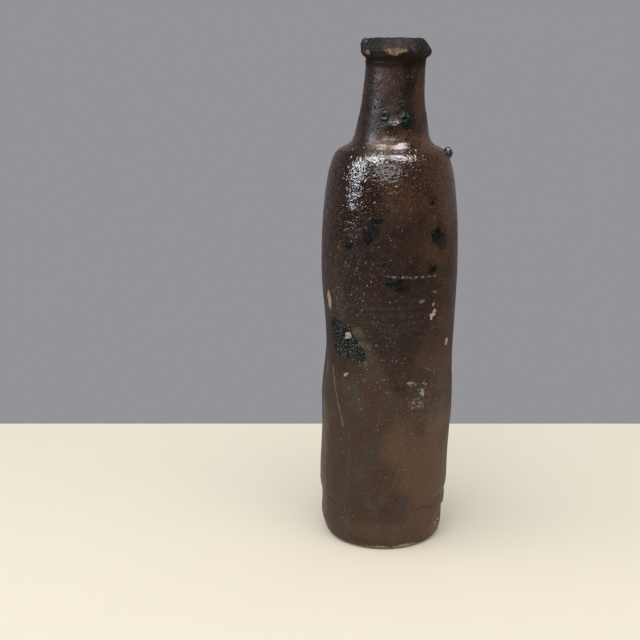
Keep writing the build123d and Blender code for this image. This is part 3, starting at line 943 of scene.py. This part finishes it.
def glaze_material():
    """Iron glaze of the body and neck: glossy above, dry below."""
    look = Look("iron_glaze")
    gloss, top, fleck = look.mask("gloss"), look.mask("top"), look.noise(0.9)
    colour = glaze_colour(look, gloss, fleck)
    shine = look.blend(look.clouds(6, 0.42, 0.66), 0.07, 0.17)
    roughness = look.blend(gloss, look.blend(look.span(fleck, 0.3, 0.7), 0.42, 0.56), shine)
    roughness = look.blend(top, roughness, 0.5)
    roughness = look.blend(look.math("MAXIMUM", look.mask("bare"), look.mask("pale")), roughness, 0.85)
    calm = look.blend(look.mask("band"), 1.0, 0.35)
    normal = look.bump(look.noise(1.25, 2.0), 0.24, look.times(look.blend(gloss, 0.15, 1.0), calm))
    normal = look.bump(look.noise(0.45, 2.0), 0.05, 0.7, normal)
    return look.finish(colour, roughness, normal, look.blend(top, look.blend(gloss, 0.16, 1.0), 0.12))


def rim_material():
    """Black pitted glaze of the rim, rubbed brown in places, with painted shade on its underside."""
    look = Look("rim_iron_glaze")
    bare, under = look.mask("bare"), look.mask("under")
    colour = look.mix(look.clouds(6, 0.44, 0.60, 4.0), RIM_BLACK, RIM_BROWN)
    colour = look.mix(look.clouds(0.9, 0.55, 0.70), colour, RIM_FLECK)
    # painted shade: the underside of the rim is darkened
    colour = look.over(colour, look.mix(look.noise(3.0), NEAR_BLACK, BROWN), under, 0.9)
    # painted shade: the pits are painted black
    colour = look.mix(look.mask("pit"), colour, BLACK)
    stained = look.mix(look.span(look.noise(1.5), 0.36, 0.62, 0.5, 1.0), buff_clay(look), STAINED)
    colour = look.mix(bare, colour, stained)
    roughness = look.blend(look.clouds(3.2, 0.42, 0.60), 0.38, 0.65)
    roughness = look.blend(bare, roughness, 0.85)
    dull = look.math("MAXIMUM", bare, look.times(under, 0.6))
    return look.finish(colour, roughness, look.bump(look.noise(1.0), 0.42), look.blend(dull, 0.085, 0.07))


def slag_material():
    """Black slag: glassy between tiny grains."""
    look = Look("black_slag")
    grains = look.cells(0.75)
    colour = look.mix(look.clouds(1.6, 0.45, 0.65), SLAG_BLACK, SLAG_GREY)
    sparkle = look.times(look.span(grains, 0.34, 0.18), look.clouds(1.3, 0.49, 0.56, 2.0))
    colour = look.over(colour, GLINT, sparkle, 0.9)
    return look.finish(colour, look.blend(sparkle, 0.55, 0.12), look.bump(grains, 0.10, 0.5), 0.25)


def spot_material():
    """Black slag that has melted flat into the glaze."""
    look = Look("melted_slag")
    colour = look.mix(look.clouds(1.2, 0.4, 0.65), SPOT_BLACK, SPOT_BROWN)
    roughness = look.blend(look.clouds(0.9, 0.35, 0.65, 2.0), 0.4, 0.6)
    return look.finish(colour, roughness, look.bump(look.noise(0.8, 2.0), 0.10, 0.7), 0.14)


def knob_material():
    """Glossy dark brown slag."""
    look = Look("glossy_slag")
    colour = look.mix(look.clouds(1.5, 0.4, 0.62), KNOB_BLACK, KNOB_BROWN)
    return look.finish(colour, 0.14, look.bump(look.noise(1.1, 2.0), 0.20), 0.8)


def bead_material():
    """Nearly black bottle-green glass."""
    look = Look("green_black_glass")
    colour = look.mix(look.clouds(1.4, 0.40, 0.66), GLASS_BLACK, GLASS_GREEN)
    colour = look.over(colour, GLASS_STREAK, look.clouds(0.6, 0.58, 0.70, 2.0, (1, 1, 0.4)), 0.6)
    return look.finish(colour, 0.27, look.bump(look.noise(0.7, 2.0, (1, 1, 0.5)), 0.16), 0.28)


def crumb_material():
    """Pale crumbs of clay."""
    look = Look("pale_crumb")
    return look.finish(look.mix(look.noise(0.9), CRUMB, CRUMB_SHADE), 0.8, look.bump(look.noise(0.35), 0.12))


def grit_material():
    """Brown grit from the kiln's floor."""
    look = Look("kiln_grit")
    colour = look.mix(look.clouds(0.9, 0.4, 0.65), GRIT_DARK, GRIT_PALE)
    return look.finish(colour, 0.7, look.bump(look.noise(0.4), 0.12))


def clay_material(name, darker=0.0):
    """Bare fired clay, which is toasted where the kiln's flame reached it."""
    look = Look(name)
    toasting = look.span(look.noise(9), 0.35, 0.7, darker, min(1, darker + 0.5))
    return look.finish(look.mix(toasting, buff_clay(look), TOASTED), 0.85, look.bump(look.noise(0.45), 0.10))


def liner_material():
    """Thin brown glaze inside the bottle."""
    look = Look("inner_glaze")
    colour = look.mix(look.clouds(5, 0.35, 0.65), LINER_BROWN, LINER_DARK)
    return look.finish(colour, 0.2, look.bump(look.noise(1.1, 2.0), 0.05))


# ---------------------------------------------------------------- floor, light and camera

TABLE_REACH = 14000
TABLE_BACK = 190
TABLE, TABLE_SHADE, TABLE_DARK = (0.885, 0.828, 0.685), (0.865, 0.81, 0.665), (0.05, 0.05, 0.05)
ROOM_LIGHT = (0.52, 0.52, 0.53)
ROOM_FRONT, ROOM_BACK = (0.045, 0.043, 0.047), (0.235, 0.222, 0.245)  # in reflections
BACKDROP = (0.298, 0.292, 0.312)
CAMERA_PLACE = (-0.039, -0.698, 0.320)
CAMERA_DIP = 14.873  # degrees below the horizon
CAMERA_LENS = 67.4
# Name, azimuth, elevation, distance, width, height, power, colour, and whether it shows in reflections only.
LIGHTS = [
    ("key", -55, 44, 1.5, 2.0, 2.0, 13.5, (1.0, 0.99, 0.97), False),
    ("front", 8, 56, 1.3, 1.1, 0.8, 5.5, (1.0, 0.99, 0.98), False),
    ("window", -69, 24, 1.2, 0.10, 0.70, 6.0, (0.88, 0.94, 1.0), True),
    ("bounce", 62, 18, 1.4, 0.9, 0.7, 3.0, (1.0, 0.95, 0.88), False),
    ("overhead_left", -51, 60, 1.2, 0.62, 0.46, 10.5, (0.94, 0.97, 1.0), True),
    ("overhead_right", 44, 69, 1.2, 0.56, 0.80, 11.0, (1.0, 0.94, 0.98), True),
    ("skylight", -12, 31, 1.2, 0.90, 0.20, 2.6, (1.0, 0.93, 0.98), True),
    ("zenith", 180, 82, 1.2, 0.60, 0.30, 6.5, (1.0, 0.95, 0.98), True),
]


def floor():
    """Plain pale table, which ends a little behind the bottle. Far from the bottle its reflections are dark."""
    left, right = -TABLE_REACH, TABLE_REACH
    corners = [(left, -TABLE_REACH, 0), (right, -TABLE_REACH, 0), (right, TABLE_BACK, 0), (left, TABLE_BACK, 0)]
    sheet = make_mesh("floor", np.array(corners), [np.array([[0, 1, 2, 3]])], smooth=False)
    look = Look("pale_floor")
    far = look.node("ShaderNodeVectorMath", {0: look.place}, operation="LENGTH").outputs["Value"]
    glossy = look.node("ShaderNodeLightPath").outputs["Is Glossy Ray"]
    seen = look.mix(look.span(look.noise(60), 0.3, 0.7, 0.0, 0.3), TABLE, TABLE_SHADE)
    reflected = look.mix(look.span(far, 0.15, 0.5), TABLE, TABLE_DARK)
    sheet.data.materials.append(look.finish(look.mix(glossy, seen, reflected), 0.8, specular=0.0))


def soft_light(name, azimuth, elevation, distance, width, height, power, colour, sheen):
    """Rectangular soft light that faces the bottle's middle. A sheen light is seen in reflections only."""
    data = bpy.data.lights.new(name, "AREA")
    data.shape = "RECTANGLE"
    data.size, data.size_y = width, height
    data.energy, data.color = power, colour
    lamp = bpy.data.objects.new(name, data)
    turn, rise = math.radians(azimuth), math.radians(elevation)
    away = Vector((math.sin(turn) * math.cos(rise), -math.cos(turn) * math.cos(rise), math.sin(rise)))
    lamp.location = Vector((0, 0, 0.2)) + away * distance
    lamp.rotation_euler = away.to_track_quat("Z", "Y").to_euler()
    lamp.visible_diffuse, lamp.visible_glossy = not sheen, sheen
    bpy.context.scene.collection.objects.link(lamp)


def world():
    """Even pale surroundings. In reflections the room is dim in front of the bottle and paler behind it."""
    made = bpy.data.worlds.new("studio")
    bpy.context.scene.world = made
    made.use_nodes = True
    room = Graph(made.node_tree)
    rays = room.node("ShaderNodeLightPath").outputs
    place = room.node("ShaderNodeTexCoord").outputs["Generated"]
    direction = room.node("ShaderNodeSeparateXYZ", {0: place}).outputs
    behind = room.span(direction["Y"], -0.3, 1.0, ease="LINEAR")
    low = room.span(direction["Z"], 0.75, 0.25, ease="LINEAR")
    reflected = room.mix(room.times(behind, low), ROOM_FRONT, ROOM_BACK)
    light = room.mix(rays["Is Glossy Ray"], ROOM_LIGHT, reflected)
    shown = room.mix(rays["Is Camera Ray"], light, BACKDROP)
    room.put(made.node_tree.nodes["Background"].inputs["Color"], shown)


def camera():
    """Camera a little above the mouth, looking down at the table, with the bottle on its right."""
    data = bpy.data.cameras.new("camera")
    data.sensor_width, data.lens = 36.0, CAMERA_LENS
    data.clip_start, data.clip_end = 0.05, 60
    made = bpy.data.objects.new("camera", data)
    made.location = CAMERA_PLACE
    made.rotation_euler = (math.radians(90 - CAMERA_DIP), 0, 0)
    bpy.context.scene.collection.objects.link(made)
    bpy.context.scene.camera = made


def cover(node, material):
    """Give a CAD node that is shown as it is its material."""
    nodes[node].data.materials.clear()
    nodes[node].data.materials.append(material)


# The functions above read the two skins, the spots and the beads.
body = body_skin()
rim = rim_skin()
spots = [Blob(points, body) for points in islands("slag_spots")]
beads = sorted([Blob(points, body) for points in islands("glass_beads")], key=lambda bead: bead.width)
beads = [bead.part(*share) for bead, share in zip(beads, BEAD_PARTS)]

slag = slag_material()
finish_piece(body_coat(), "body_glaze", glaze_material())
finish_piece(rim_coat(), "rim_glaze", rim_material())
finish_piece(base_piece(), "base_disc", clay_material("base_clay", 0.1))
finish_piece(slag_spots(), "slag_spots", spot_material())
finish_piece(scar_patch(), "scar_slag_patch", slag)
finish_piece(rim_lump(), "rim_kiln_lump", slag)
finish_piece(shoulder_lump(), "shoulder_kiln_lump", knob_material())
finish_piece(glass_beads(), "glass_beads", bead_material())
finish_piece(clay_crumbs(), "clay_crumbs", crumb_material())
finish_piece(foot_grit(), "foot_grit", grit_material())

wall_clay = clay_material("wall_clay")
for section in ("foot_band", "lower_wall", "upper_wall", "shoulder_cap", "neck_tube", "mouth_rim"):
    cover(section, wall_clay)
cover("joint_slip", clay_material("joint_slip", 0.3))
cover("inner_glaze", liner_material())

floor()
for light in LIGHTS:
    soft_light(*light)
world()
camera()
bpy.context.scene.view_settings.view_transform = "Standard"
